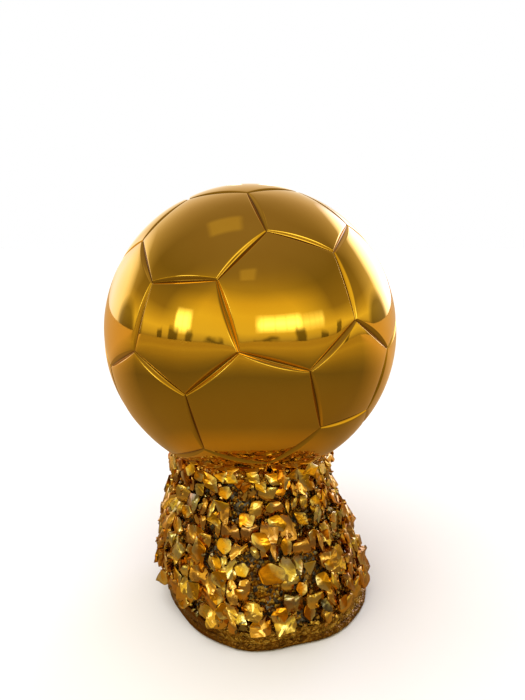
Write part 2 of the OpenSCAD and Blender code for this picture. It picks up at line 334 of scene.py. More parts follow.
def crumpled_foil(name, dark, light, crumple, bare=False):
    """Gilt crushed into small sharp folds. With bare, it is smooth and brown where the
    piece's own bareness says so."""
    material, tree, shader, place = new_material(name, Metallic=1.0)
    folds = tree.add("ShaderNodeTexVoronoi", {"Vector": place, "Scale": 300.0, "Randomness": 1.0},
                     feature="DISTANCE_TO_EDGE").outputs["Distance"]
    folds = tree.spread(folds, 0.0, 0.25)
    crush = tree.noise(place, 420, 4, 0.7)
    cloud = tree.noise(place, 260, 5, 0.7, 0.5)
    colour = tree.ramp(cloud, [(0.32, dark), (0.66, light)])
    if bare:
        bare_part = tree.attribute("bare")
        colour = tree.mix(bare_part, colour, (0.22, 0.10, 0.022))
        kept = tree.spread(bare_part, 0.0, 1.0, 1.0, 0.12)
        folds = tree.maths("MULTIPLY", folds, kept)
        crush = tree.maths("MULTIPLY", crush, kept)
    rough = tree.spread(tree.noise(place, 300, 4, 0.6), 0.3, 0.7, 0.14, 0.36)
    normal = tree.bump(folds, crumple, 0.0010)
    normal = tree.bump(crush, crumple, 0.0010, normal)
    plug(tree, shader, Base_Color=colour, Roughness=rough, Normal=normal)
    return material


def plain_metal(name, dark, light, low, high, scale):
    """Turned or plated metal with fine tool marks, for pieces out of sight."""
    material, tree, shader, place = new_material(name, Metallic=1.0)
    cloud = tree.noise(place, scale, 4, 0.6)
    colour = tree.ramp(cloud, [(0.3, dark), (0.7, light)])
    rough = tree.spread(tree.noise(place, scale * 3, 4, 0.6), 0.3, 0.7, low, high)
    rings = tree.add("ShaderNodeTexWave", {"Vector": place, "Scale": 900.0, "Distortion": 0.6},
                     wave_type="RINGS", rings_direction="Z").outputs["Fac"]
    normal = tree.bump(rings, 0.15, 0.00008)
    plug(tree, shader, Base_Color=colour, Roughness=rough, Normal=normal)
    return material


def bedding():
    """The compound that beds the ball in its cup."""
    material, tree, shader, place = new_material("seat_bedding", Metallic=0.6)
    cloud = tree.noise(place, 300, 4, 0.6)
    colour = tree.ramp(cloud, [(0.3, (0.16, 0.08, 0.015)), (0.7, (0.42, 0.24, 0.05))])
    normal = tree.bump(cloud, 0.5, 0.0006)
    plug(tree, shader, Base_Color=colour, Normal=normal)
    shader.inputs["Roughness"].default_value = 0.5
    return material


def felt():
    """Short dark green felt with loose fibres."""
    material, tree, shader, place = new_material("dark_felt", Roughness=0.95)
    fibre = tree.noise(place, 1400, 6, 0.75, 1.2)
    patch = tree.noise(place, 90, 3, 0.5)
    colour = tree.mix(tree.spread(patch, 0.3, 0.7, 0.0, 0.35),
                      tree.ramp(fibre, [(0.3, (0.010, 0.035, 0.022)), (0.7, (0.035, 0.10, 0.06))]),
                      (0.02, 0.05, 0.035))
    plug(tree, shader, Base_Color=colour, Normal=tree.bump(fibre, 0.8, 0.0005))
    shader.inputs["Sheen Weight"].default_value = 0.4
    return material


# ---- the ball -----------------------------------------------------------

BALL_TURN = (-34.2, 6.7, -6.5)           # degrees, turns the panels to the front
BALL_SMOOTH = math.radians(16)           # faces that meet flatter than this shade as one
PANEL_SWELL = 0.25 * MM                  # how far a panel's middle stands over its rim
SEAM_HALF = 2.5 * MM                     # half width of a seam at mid length
SEAM_END = 1.0 * MM                      # half width where seams meet
SEAM_DEPTH = 1.5 * MM                    # depth at mid length
SEAM_END_DEPTH = 0.40                    # share of the depth that is left where seams meet
SEAM_CUTS = 13                           # cuts across each panel side, fine enough for a round ball


def cut_icosahedron():
    """An icosahedron with its corners cut off has the ball's 32 panels."""
    bpy.ops.object.select_all(action="DESELECT")
    bpy.ops.mesh.primitive_ico_sphere_add(subdivisions=1, radius=1)
    ball = bpy.context.object
    ball.name = ball.data.name = "gold_ball"
    edge = (ball.data.vertices[ball.data.edges[0].vertices[0]].co
            - ball.data.vertices[ball.data.edges[0].vertices[1]].co).length
    edit(ball, lambda: bpy.ops.mesh.bevel(affect="VERTICES", offset=edge / 3, segments=1))
    return ball


def divide_panels(ball, inset):
    """Inset each panel by a seam's half width and divide all faces finely."""
    edit(ball, lambda: bpy.ops.mesh.inset(thickness=inset, use_individual=True))
    pick(ball, "FACE", lambda face: len(face.vertices) > 4)
    bpy.ops.mesh.poke()
    bpy.ops.mesh.select_all(action="SELECT")
    bpy.ops.mesh.subdivide(number_cuts=SEAM_CUTS)
    bpy.ops.object.mode_set(mode="OBJECT")


def nearest_sides(out, centre, apothem, corners, sides, side_length):
    """For points at out from their panel's centre: how near they are to the panel's
    nearest side, from 0 at the centre to 1 on it, and how far along it, from -1 to 1."""
    ratio = np.full(len(out), -1.0)
    along = np.zeros(len(out))
    for first, second in sides:
        way = (corners[first] + corners[second]) / 2 - centre
        reach = np.linalg.norm(way, axis=1)
        own = np.abs(reach - apothem) < 0.02 * apothem
        toward = (out * way / np.maximum(reach, 1e-9)[:, None]).sum(1) / apothem
        better = own & (toward > ratio)
        line = (corners[second] - corners[first]) / side_length
        ratio[better] = toward[better]
        along[better] = ((out @ line) / np.maximum(toward, 1e-6) / (side_length / 2))[better]
    return np.clip(ratio, 0, 1), np.clip(along, -1, 1)


def model_ball():
    """The flat panels are inset, divided and blown up to a sphere, then the seams
    are pressed in: lens-shaped, widest and deepest at mid length."""
    ball = cut_icosahedron()
    centres = np.array([face.center for face in ball.data.polygons])
    normals = np.array([face.normal for face in ball.data.polygons])
    reach = (centres * normals).sum(1)
    corners = coordinates(ball.data)
    sides = np.array([tuple(e.vertices) for e in ball.data.edges])
    side_length = np.linalg.norm(corners[sides[0][0]] - corners[sides[0][1]])
    flat = np.linalg.norm(corners[0]) / BALL_R       # the flat ball's size beside the real one
    divide_panels(ball, SEAM_HALF * flat)

    points = coordinates(ball.data)
    owner = np.argmax(points @ normals.T / reach, axis=1)
    centre = centres[owner]
    # the pentagons lie further out than the hexagons
    side_count = np.where(reach > reach.mean(), 5, 6)[owner]
    apothem = side_length / 2 / np.tan(np.pi / side_count)
    out = points - centre
    ratio, along = nearest_sides(out, centre, apothem, corners, sides, side_length)

    # move the lip of the seam in at mid length, with the panel inside it
    lens = 1 - along ** 2
    half = SEAM_END + (SEAM_HALF - SEAM_END) * lens
    flank = SEAM_HALF * flat / apothem
    lip = 1 - half * flat / apothem
    on_flank = ratio >= 1 - flank
    moved = np.where(on_flank, 1 - (1 - ratio) / flank * (1 - lip), ratio / (1 - flank) * lip)
    stretch = np.where(ratio > 1e-6, moved / np.maximum(ratio, 1e-6), 1.0)
    points = centre + out * stretch[:, None]

    # blow the panels up to a sphere, swell them and press the seams in
    depth = SEAM_DEPTH * (SEAM_END_DEPTH + (1 - SEAM_END_DEPTH) * lens)
    fall = np.where(on_flank, np.clip((moved - lip) / (1 - lip), 0, 1), 0)
    press = 0.5 - 0.5 * np.cos(np.pi * fall)
    swell = PANEL_SWELL * (1 - np.clip(moved / lip, 0, 1) ** 4) * ~on_flank
    radius = np.minimum(BALL_R - PANEL_SWELL + swell - depth * press, BALL_R)
    points = points / np.linalg.norm(points, axis=1, keepdims=True) * radius[:, None]
    set_coordinates(ball.data, points)
    # the seams' depth, which the material reads for its roughness and for its painted shade in the seams
    set_attribute(ball.data, "seam", press)
    ball.rotation_euler = Euler([math.radians(turn) for turn in BALL_TURN])
    ball.location = BALL_C
    settle(ball)
    smooth(ball, BALL_SMOOTH)
    return ball


# ---- the chips ----------------------------------------------------------

CHIP_SMOOTH = math.radians(36)           # faces that meet flatter than this shade as one
EDGE_BREAK = 0.34 * MM                   # bevel on the CAD chips' edges
EDGE_BREAK_ANGLE = math.radians(28)      # edges sharper than this are broken
EDGE_FACE = 1.296 * MM ** 2              # a face below this size lies on a broken edge


def islands(mesh):
    """Number of the loose part that each vertex belongs to."""
    parent = np.arange(len(mesh.vertices))
    pairs = np.array([tuple(e.vertices) for e in mesh.edges])
    while True:
        low = np.minimum(parent[pairs[:, 0]], parent[pairs[:, 1]])
        before = parent.copy()
        np.minimum.at(parent, pairs[:, 0], low)
        np.minimum.at(parent, pairs[:, 1], low)
        parent = parent[parent]
        if (before == parent).all():
            return np.unique(parent, return_inverse=True)[1]


def pick_tone(draw):
    """Most chips are amber to gold, some pale, a few grey."""
    kind = draw.random()
    if kind < 0.03:
        return draw.uniform(0.04, 0.16)
    if kind < 0.24:
        return draw.uniform(0.26, 0.48)
    if kind < 0.78:
        return draw.uniform(0.50, 0.82)
    return draw.uniform(0.80, 1.0)


def break_edges(piece):
    """Bevel the chips' sharp edges."""
    modifier = piece.modifiers.new("break_edges", "BEVEL")
    modifier.width = EDGE_BREAK
    modifier.segments = 1
    modifier.limit_method = "ANGLE"
    modifier.angle_limit = EDGE_BREAK_ANGLE
    apply_modifiers(piece)


def mark_edges(mesh):
    """1 at points that only small faces share, on the broken edges, and less on the rest. The chips'
    material paints a highlight by it.
    """
    edge = np.ones(len(mesh.vertices))
    for face in mesh.polygons:
        if face.area > EDGE_FACE:
            edge[list(face.vertices)] = 0.55
    set_attribute(mesh, "edge", edge)


def model_course(node, draw, cleared):
    """One course of CAD chips with broken edges and a tone for each chip.
    The chips in the cleared spots make way for the front chips and the hollow."""
    piece = copy_of(node, node.replace("chips_course", "gilt_chips"))
    part = islands(piece.data)
    points = coordinates(piece.data)
    lost = set()
    for number in range(part.max() + 1):
        middle = Vector(points[part == number].mean(0))
        if any((middle - spot).length < reach for spot, reach in cleared):
            lost.add(number)
    pick(piece, "VERT", lambda vertex: part[vertex.index] in lost)
    bpy.ops.mesh.delete(type="VERT")
    bpy.ops.object.mode_set(mode="OBJECT")
    break_edges(piece)
    part = islands(piece.data)
    tones = np.array([pick_tone(draw) for _ in range(part.max() + 1)])
    set_attribute(piece.data, "tone", tones[part])
    mark_edges(piece.data)
    smooth(piece, CHIP_SMOOTH)
    return piece


# corners, length over width, size of the corners' bevel, sunk (-) or raised (+) middle
CHIP_KINDS = {"square": (4, 0.95, 0.26, -0.05), "five": (5, 1.05, 0.24, -0.08),
              "six": (6, 0.9, 0.20, 0.09), "wedge": (3, 1.1, 0.30, -0.05),
              "long": (4, 1.7, 0.24, 0.07), "tongue": (5, 1.45, 0.30, 0.10)}
PATTERN_SEEDS = (3, 8)                   # one pattern of each kind for each seed


def chip_pattern(kind, seed):
    """A thick flake of radius 1 to copy: a short prism with its corners knocked off,
    its face sunk or raised inside a narrow rim."""
    corners, length, loss, middle = CHIP_KINDS[kind]
    bpy.ops.object.select_all(action="DESELECT")
    bpy.ops.mesh.primitive_cylinder_add(vertices=corners, radius=1, depth=0.5, end_fill_type="NGON")
    flake = bpy.context.object
    mesh = flake.data
    flake.scale = (1, length, 1)
    flake.rotation_euler.z = math.pi / corners
    settle(flake)
    edit(flake, lambda: bpy.ops.transform.vertex_random(offset=0.13, uniform=0.5, normal=0.0, seed=seed))
    # knock off the corners: the edges that run from the bottom to the top
    pick(flake, "EDGE", lambda side: mesh.vertices[side.vertices[0]].co.z
         * mesh.vertices[side.vertices[1]].co.z < 0)
    bpy.ops.mesh.bevel(offset=loss, segments=2, profile=0.5, affect="EDGES")
    bpy.ops.object.mode_set(mode="OBJECT")
    # a narrow rim round the top, and the middle inside it
    pick(flake, "FACE", lambda face: face.normal.z > 0.8)
    bpy.ops.mesh.inset(thickness=0.06, depth=0.05)
    bpy.ops.mesh.poke(offset=middle)
    bpy.ops.object.mode_set(mode="OBJECT")
    # the outer ring of the top is the rim, which the chips' material paints with a highlight
    points = coordinates(mesh)
    rim = np.zeros(len(points), dtype=bool)
    for face in mesh.polygons:
        if face.normal.z < 0.75 and face.area < 0.05:
            rim[list(face.vertices)] = True
    set_attribute(mesh, "edge", np.where(rim & (points[:, 2] > 0.0), 1.0, 0.3))
    smooth(flake, CHIP_SMOOTH)
    return flake


def chip_patterns():
    """Two patterns of each kind of chip."""
    return {kind: [chip_pattern(kind, seed) for seed in PATTERN_SEEDS] for kind in CHIP_KINDS}


def gather(name, places):
    """Copies of patterns, one for each place and with its tone, joined as one piece."""
    copies = []
    for pattern, place, tone in places:
        mesh = pattern.data.copy()
        mesh.transform(place)
        set_attribute(mesh, "tone", np.full(len(mesh.vertices), tone))
        piece = bpy.data.objects.new(name, mesh)
        bpy.context.collection.objects.link(piece)
        copies.append(piece)
    bpy.ops.object.select_all(action="DESELECT")
    for piece in copies:
        piece.select_set(True)
    bpy.context.view_layer.objects.active = copies[0]
    bpy.ops.object.join()
    joined = bpy.context.object
    joined.name = joined.data.name = name
    return joined


def rock_tree(names):
    """The named CAD nodes' surfaces, to find places on them."""
    points, faces = [], []
    for name in names:
        mesh = nodes[name].data
        start = len(points)
        points += [tuple(v.co) for v in mesh.vertices]
        faces += [tuple(start + i for i in face.vertices) for face in mesh.polygons]
    return BVHTree.FromPolygons(points, faces)


def cast(tree, angle, height):
    """The outermost surface point at a direction and height, and the level way out to it."""
    way = Vector((math.cos(angle), math.sin(angle), 0))
    start = way * 0.2 + Vector((0, 0, height))
    hit, _, _, _ = tree.ray_cast(start, -way)
    return hit, way


# The chips that stand out over the front, one line for each course from the top down.
# Each letter is a chip, or a gap for a dot: s square, f five-cornered, x six-cornered,
# w wedge, l long, t tongue, o the wide one that overhangs a dark hollow. The figure
# under it is its tone: 0 is grey, 9 is pale gold.
FRONT_COURSES = [("tsf.xlt", "685.455"),
                 ("fwstltl", "5656665"),
                 ("tsfttsf", "5565566"),
                 ("ftfowtl", "6675875"),
                 ("lsf.ftf", "6652465"),
                 ("fslxfst", "6785345")]
FRONT_LETTERS = {"s": "square", "f": "five", "x": "six", "w": "wedge", "l": "long", "t": "tongue"}
FRONT_WIDTHS = {"square": (8.5, 12.5), "five": (7.5, 10.0), "six": (9.5, 11.5),
                "wedge": (9.5, 12.0), "long": (6.5, 8.0), "tongue": (8.0, 10.0)}
FRONT_MIDDLE = -85                       # degrees, the middle of the courses
FRONT_STEP = 18                          # degrees from chip to chip
FRONT_STRAY = 0.22                       # share of a step or row that a chip strays
OVERHANG_WIDTH = 17                      # mm
CHIP_MIDDLE = 1.6                        # mm from a chip's middle to its face
CLEAR_DEPTH = 3.0 * MM                   # the cleared spots lie this deep, at the CAD chips' middles
HOLLOW_DROP = 10 * MM                    # from the wide chip down to the middle of its hollow
HOLLOW_R = 7.5 * MM


def on_rock(tree, angle, height):
    """A place at the level of the chips' faces, and the level way out from it. It looks a
    little to each side, above and below, and passes over the outermost of what it meets."""
    found = [cast(tree, angle + turn, height + step * MM)[0]
             for turn, step in ((0, 0), (0.05, 0), (-0.05, 0), (0, 3), (0, -3))]
    reach = sorted(hit.to_2d().length for hit in found if hit)
    way = Vector((math.cos(angle), math.sin(angle), 0))
    return way * reach[-2] + Vector((0, 0, height)), way


def chip_matrix(place, out, spin, width, length):
    """Sets a chip pattern at a place, facing out, spun and sized."""
    turn = out.normalized().to_track_quat("Z", "Y").to_matrix().to_4x4()
    shape = Matrix.Diagonal((width / 2, length / 2, (width + length) / 6, 1))
    return Matrix.Translation(place) @ turn @ Matrix.Rotation(spin, 4, "Z") @ shape


def front_chip_places(draw, tree, patterns):
    """The chips laid over the front, and the spots that the CAD chips clear for them."""
    places, cleared = [], []
    low, high = FOOT_TOP + 9 * MM, COLLAR_LOW - 1 * MM
    rise = (high - low) / len(FRONT_COURSES)
    for row, (letters, tones) in enumerate(FRONT_COURSES):
        shift = 0.5 * (row % 2) - (len(letters) - 1) / 2
        for column, (letter, tone) in enumerate(zip(letters, tones)):
            step = column + shift + draw.uniform(-FRONT_STRAY, FRONT_STRAY)
            height = high - (row + 0.5 + draw.uniform(-FRONT_STRAY, FRONT_STRAY)) * rise
            if letter == ".":
                continue
            spot, way = on_rock(tree, math.radians(FRONT_MIDDLE + step * FRONT_STEP), height)
            if letter == "o":
                kind, width, spin, up, proud = "five", OVERHANG_WIDTH, math.pi, 0.70, 2.8
                length = 0.7 * width
                cleared.append((spot - way * CLEAR_DEPTH - Vector((0, 0, HOLLOW_DROP)), HOLLOW_R))
            else:
                kind = FRONT_LETTERS[letter]
                width = draw.uniform(*FRONT_WIDTHS[kind])
                spin = draw.gauss(0, 0.25) + (math.pi if letter == "w" and row % 3 else 0)
                up, proud = draw.uniform(0.12, 0.50), draw.uniform(0.7, 1.6)
                length = width * draw.uniform(0.88, 1.05)
            place = chip_matrix(spot + way * (proud - CHIP_MIDDLE) * MM, way + Vector((0, 0, up)),
                                spin, width * MM, length * MM)
            places.append((patterns[kind][column % 2], place, 0.10 + 0.1 * int(tone)))
            cleared.append((spot - way * CLEAR_DEPTH, width / 2 * MM))
    return places, cleared


LAPPED_CHIPS = 200
LAPPED_GAP = 6.5 * MM                    # least distance between two lapped chips
FRONT_GAP = 4 * MM                       # least distance from the spot that a front chip cleared
LAPPED_KINDS = ("square", "five", "five", "six", "wedge", "long", "tongue", "tongue")


def lapped_chip_places(draw, tree, patterns, cleared):
    """Chips lapped over the rest, each leaning its own way."""
    places, taken = [], []
    low, high = FOOT_TOP + 11 * MM, COLLAR_LOW - 2 * MM
    for _ in range(LAPPED_CHIPS * 6):    # tries, of which many fall too near another chip
        if len(places) == LAPPED_CHIPS:
            break
        angle = draw.uniform(0, math.tau)
        height = draw.uniform(low, high)
        spot, way = on_rock(tree, angle, height)
        if any((spot - middle).length < reach + FRONT_GAP for middle, reach in cleared):
            continue
        if any((spot - other).length < LAPPED_GAP for other in taken):
            continue
        kind = draw.choice(LAPPED_KINDS)
        width = draw.uniform(5.5, 9.8) * MM
        across = Vector((-way.y, way.x, 0)) * draw.gauss(0, 0.22)
        out = way + across + Vector((0, 0, draw.uniform(-0.05, 0.6)))
        place = spot - way * draw.uniform(0.2, 1.4) * MM
        spin = draw.choice((0, 0, math.pi)) + draw.gauss(0, 0.5)
        pattern = draw.choice(patterns[kind])
        length = width * draw.uniform(0.8, 1.1)
        places.append((pattern, chip_matrix(place, out, spin, width, length), pick_tone(draw)))
        taken.append(spot)
    return places


COLLAR_CHIPS = 66


def collar_chip_places(draw, patterns):
    """Chips stood round the seat, leaning in towards the ball."""
    places = []
    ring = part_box("seat_ring")[1].x
    for number in range(COLLAR_CHIPS):
        angle = (number + draw.uniform(-0.35, 0.35)) * math.tau / COLLAR_CHIPS
        way = Vector((math.cos(angle), math.sin(angle), 0))
        reach = ring + draw.uniform(2.9, 4.0) * MM
        place = way * reach + Vector((0, 0, COLLAR_TOP - draw.uniform(0.0, 5.5) * MM))
        out = way + Vector((0, 0, draw.uniform(0.10, 0.55)))
        kind = draw.choice(("square", "five", "wedge", "long"))
        width = draw.uniform(6.0, 10.0) * MM
        pattern = draw.choice(patterns[kind])
        spin = draw.gauss(0, 0.4)
        length = width * draw.uniform(0.8, 1.1)
        places.append((pattern, chip_matrix(place, out, spin, width, length), pick_tone(draw)))
    return places


# ---- the grit -----------------------------------------------------------

GRAIN_PATTERNS = 5
LOOSE_GRAINS = 2300
COLLAR_GRAINS = 1100
DEEP = 2.2 * MM                          # a spot this near the bare core lies in a gap


def grain_patterns(draw):
    """Angular grains to copy."""
    patterns = []
    for number in range(GRAIN_PATTERNS):
        bpy.ops.object.select_all(action="DESELECT")
        bpy.ops.mesh.primitive_ico_sphere_add(subdivisions=1, radius=1)
        grain = bpy.context.object
        grain.scale = (1, draw.uniform(0.6, 0.9), draw.uniform(0.4, 0.8))
        settle(grain)
        edit(grain, lambda: bpy.ops.transform.vertex_random(offset=0.35, uniform=0.7, normal=0.0,
                                                            seed=number + 11))
        set_attribute(grain.data, "edge", np.zeros(len(grain.data.vertices)))
        patterns.append(grain)
    return patterns


def any_turn(draw):
    """A turn to any side, drawn at random."""
    return Euler([draw.uniform(0, math.tau) for _ in range(3)]).to_matrix().to_4x4()


def loose_grain_places(draw, grains, tree, core):
    """Grains heaped in the gaps between the chips, and a few on the chips."""
    places = []
    for _ in range(LOOSE_GRAINS * 30):   # tries, of which most fall on a chip
        if len(places) == LOOSE_GRAINS:
            break
        angle = draw.uniform(0, math.tau)
        height = draw.uniform(FOOT_TOP + 3 * MM, COLLAR_LOW)
        hit, way = cast(tree, angle, height)
        inner, _ = cast(core, angle, height)
        if hit is None or inner is None:
            continue
        deep = hit.to_2d().length - inner.to_2d().length < DEEP
        if not deep and draw.random() > 0.06:
            continue
        size = draw.uniform(0.7, 1.9) * MM
        lift = draw.uniform(0.2, 4.6) * MM if deep else draw.uniform(-0.5, 0.1) * MM
        turn = any_turn(draw)
        tone = pick_tone(draw) if draw.random() < 0.62 else draw.uniform(0.03, 0.16)
        place = Matrix.Translation(hit + way * lift) @ turn @ Matrix.Scale(size, 4)
        places.append((draw.choice(grains), place, tone))
    return places


def collar_grain_places(draw, grains):
    """Grains packed over the collar and into the line under the ball."""
    places = []
    for _ in range(COLLAR_GRAINS):
        angle = draw.uniform(0, math.tau)
        # 0 just inside the ball's skin, 1 at the outside of the collar, where it is lower
        share = draw.random()
        height = COLLAR_TOP + (0.8 - 2.6 * share * share + draw.gauss(0, 0.35)) * MM
        skin = math.sqrt(BALL_R ** 2 - (BALL_C.z - height) ** 2)
        reach = skin + (3.4 * share - 0.7 + draw.gauss(0, 0.25)) * MM
        turn = any_turn(draw)
        middle = Vector((math.cos(angle) * reach, math.sin(angle) * reach, height))
        place = Matrix.Translation(middle) @ turn @ Matrix.Scale(draw.uniform(0.7, 1.7) * MM, 4)
        places.append((draw.choice(grains), place, pick_tone(draw)))
    return places


# ---- the cast rock, the crumpled band, the collar and the foot -----------

def crease(piece, name, showing, size, strength):
    """Subdivide a piece and push its showing points in and out by a fractured pattern."""
    divide = piece.modifiers.new("divide", "SUBSURF")
    divide.subdivision_type = "SIMPLE"
    divide.levels = divide.render_levels = 2
    apply_modifiers(piece)
    picked = [int(i) for i in np.nonzero(showing(coordinates(piece.data)))[0]]
    piece.vertex_groups.new(name="showing").add(picked, 1.0, "REPLACE")
    texture = bpy.data.textures.new(name, "VORONOI")
    texture.noise_scale = size
    push = piece.modifiers.new("push", "DISPLACE")
    push.texture = texture
    push.texture_coords = "LOCAL"
    push.vertex_group = "showing"
    push.strength = strength
    push.mid_level = 0.5
    apply_modifiers(piece)
    piece.vertex_groups.clear()


CAVITY_R = 36 * MM                       # the rock stays smooth this near its axis, round its cavity
BAND_HIDDEN_R = 55 * MM                  # the band stays smooth this near its middle
FOOT_HIDDEN_R = 52 * MM                  # and so does the foot
FOOT_SMOOTH = math.radians(40)           # the foot's faces that meet flatter than this shade as one
BARE_MIDDLE = -143                       # degrees, the way from the axis to the bare part of the foot
BARE_HALF = 44                           # degrees to each side of it
BARE_FADE = 16                           # degrees over which it fades


def bareness(points):
    """1 at the lower left of the front, where the smooth foot runs up, 0 elsewhere."""
    off = np.degrees(np.arctan2(points[:, 1], points[:, 0])) - BARE_MIDDLE
    off = (off + 180) % 360 - 180
    return np.clip((BARE_HALF - np.abs(off)) / BARE_FADE, 0, 1)


def model_bed():
    """The cast rock under the chips, roughened where it shows."""
    bed = copy_of("base_core", "rock_bed")

    def showing(points):
        reach = np.hypot(points[:, 0], points[:, 1])
        return (reach > CAVITY_R) & (points[:, 2] > FOOT_TOP + 0.5 * MM) & (points[:, 2] < COLLAR_LOW)

    crease(bed, "rock_fracture", showing, 6 * MM, -1.6 * MM)
    return bed


def crease_where_covered(piece, name, hidden, low, size, strength):
    """Crease a piece outside its hidden middle and above its low part, but not its bare
    part, and store the bareness for its material."""
    middle = coordinates(piece.data)[:, :2].mean(0)

    def showing(points):
        reach = np.hypot(points[:, 0] - middle[0], points[:, 1] - middle[1])
        return (reach > hidden) & (points[:, 2] > low) & (bareness(points) < 0.5)

    crease(piece, name, showing, size, strength)
    set_attribute(piece.data, "bare", bareness(coordinates(piece.data)))


def model_foil():
    """The crumpled band above the foot, left smooth where the foot is bare."""
    foil = copy_of("foil_band", "crumpled_band")
    crease_where_covered(foil, "foil_folds", BAND_HIDDEN_R, FOOT_TOP + 0.3 * MM, 4 * MM, 1.4 * MM)
    return foil


def model_collar():
    """The crumbly ring round the ball's seat, drawn in a little to leave room for the
    chips stood round it."""
    collar = copy_of("collar_grit", "collar_ring")
    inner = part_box("seat_ring")[1].x + 1.9 * MM
    points = coordinates(collar.data)
    away = np.hypot(points[:, 0], points[:, 1])
    drawn = np.where(away > inner, (away - 0.3 * MM) / away, 1.0)
    points[:, :2] *= drawn[:, None]
    set_coordinates(collar.data, points)
    crease(collar, "collar_crumbs", lambda points: np.hypot(points[:, 0], points[:, 1]) > inner,
           3 * MM, 1.2 * MM)
    return collar


def model_foot():
    """The foot plate, its edge a little uneven except where the foot is bare."""
    foot = copy_of("plinth_plate", "foot_edge")
    crease_where_covered(foot, "foot_dents", FOOT_HIDDEN_R, 1.5 * MM, 7 * MM, 0.9 * MM)
    smooth(foot, FOOT_SMOOTH)
    return foot


# ---- studio -------------------------------------------------------------

def soft_patch(tree, across, up, centre, half, edge):
    """1 inside a soft-edged rectangle of directions, 0 outside it."""
    sides = []
    for value, middle, reach in ((across, centre[0], half[0]), (up, centre[1], half[1])):
        off = tree.maths("ABSOLUTE", tree.maths("SUBTRACT", value, middle))
        sides.append(tree.spread(off, reach + edge, reach - edge))
    return tree.maths("MULTIPLY", sides[0], sides[1])


CEILING = (0.27, 0.205, 0.175)
# pale walls lit from outside, left and right of the trophy's back: the way to each, its light
PALE_WALLS = [((0.60, 0.76, 0.26), (2.5, 2.6, 4.2)), ((-0.77, 0.61, 0.18), (1.3, 1.25, 1.6))]
DOORWAYS = [(0.92, 0.39, 0.0), (-0.97, 0.23, 0.0)]
# windows in front: middle across and up, half width and half height, strength
WINDOWS = [((-1.22, 0.22), (0.26, 0.10), 0.9), ((0.44, 0.23), (0.34, 0.065), 1.0),
           ((1.15, 0.22), (0.42, 0.06), 0.35)]
# dim ceiling panels: middle across and lengthwise, half sizes
CEILING_PANELS = [((-0.24, 0.08), (0.17, 0.14)), ((-0.05, -0.82), (0.12, 0.13))]
# dark things low in the room: middle across and up, half width and half height
FURNITURE = [((0.78, 0.04), (0.12, 0.13)), ((-1.55, 0.02), (0.24, 0.08)), ((-0.95, 0.02), (0.09, 0.10)),
             ((-0.45, 0.01), (0.16, 0.035)), ((-2.6, 0.04), (0.30, 0.07)), ((1.6, 0.02), (0.22, 0.05)),
             ((2.9, 0.05), (0.35, 0.09)), ((0.2, 0.01), (0.14, 0.03))]


def room_walls(tree, side_y, up):
    """The room from its floor to its ceiling, in front, at the sides and behind."""
    height = tree.spread(up, -1.0, 1.0)
    front = tree.ramp(height, [(0.0, (0.16, 0.11, 0.07)), (0.49, (0.24, 0.17, 0.08)),
                               (0.51, (0.50, 0.41, 0.18)), (0.56, (0.80, 0.66, 0.20)),
                               (0.66, (0.86, 0.70, 0.18)), (0.73, (0.74, 0.57, 0.14)),
                               (0.80, (0.42, 0.32, 0.11)), (0.90, (0.29, 0.22, 0.14)), (1.0, CEILING)])
    side = tree.ramp(height, [(0.0, (0.16, 0.11, 0.07)), (0.49, (0.22, 0.15, 0.07)),
                              (0.52, (0.60, 0.47, 0.16)), (0.56, (0.84, 0.68, 0.20)),
                              (0.60, (0.62, 0.48, 0.14)), (0.66, (0.30, 0.22, 0.08)),
                              (0.80, (0.20, 0.15, 0.07)), (1.0, CEILING)])
    back = tree.ramp(height, [(0.0, (0.34, 0.25, 0.16)), (0.47, (0.90, 0.78, 0.58)),
                              (0.55, (1.25, 1.12, 0.92)), (0.70, (0.86, 0.74, 0.60)),
                              (0.86, (0.52, 0.42, 0.38)), (1.0, CEILING)])
    seen = tree.mix(tree.spread(side_y, -0.75, -0.35), front, side)
    return tree.mix(tree.spread(side_y, 0.15, 0.75), seen, back)


def room_seen(tree, way):
    """The light that comes from each direction of the room."""
    split = tree.add("ShaderNodeSeparateXYZ", {"Vector": way})
    side_x, side_y, up = split.outputs["X"], split.outputs["Y"], split.outputs["Z"]
    seen = room_walls(tree, side_y, up)
    for aim, light in PALE_WALLS:
        seen = tree.mix(tree.spread(tree.dot(way, aim), 0.925, 0.985), seen, light)
    for aim in DOORWAYS:
        seen = tree.mix(tree.spread(tree.dot(way, aim), 0.965, 0.985, 0.0, 0.75), seen, (0.09, 0.065, 0.02))
    # windows with slim posts
    ahead = tree.maths("MAXIMUM", tree.maths("MULTIPLY", side_y, -1.0), 0.05)
    across = tree.maths("DIVIDE", side_x, ahead)
    posts = tree.spread(tree.maths("PINGPONG", across, 0.085), 0.0, 0.022, 0.72, 1.0)
    for centre, half, strength in WINDOWS:
        patch = tree.maths("MULTIPLY", soft_patch(tree, across, up, centre, half, 0.055), posts)
        seen = tree.mix(tree.maths("MULTIPLY", patch, strength), seen, (3.0, 3.1, 2.8))
    overhead = tree.maths("MAXIMUM", up, 0.05)
    lengthwise = tree.maths("DIVIDE", side_y, overhead)
    crosswise = tree.maths("DIVIDE", side_x, overhead)
    for centre, half in CEILING_PANELS:
        patch = soft_patch(tree, crosswise, lengthwise, centre, half, 0.03)
        seen = tree.mix(tree.maths("MULTIPLY", patch, 0.4), seen, (0.62, 0.50, 0.26))
    # tables, chairs and a cabinet along the horizon, as soft dark shapes
    warp = tree.spread(tree.noise(way, 4.0, 2, 0.5), 0.3, 0.7, -0.05, 0.05)
    ragged = tree.maths("ADD", across, warp)
    level = tree.maths("ADD", up, warp)
    for centre, half in FURNITURE:
        patch = soft_patch(tree, ragged, level, centre, half, 0.03)
        seen = tree.mix(tree.maths("MULTIPLY", patch, 0.8), seen, (0.06, 0.045, 0.02))
    return seen


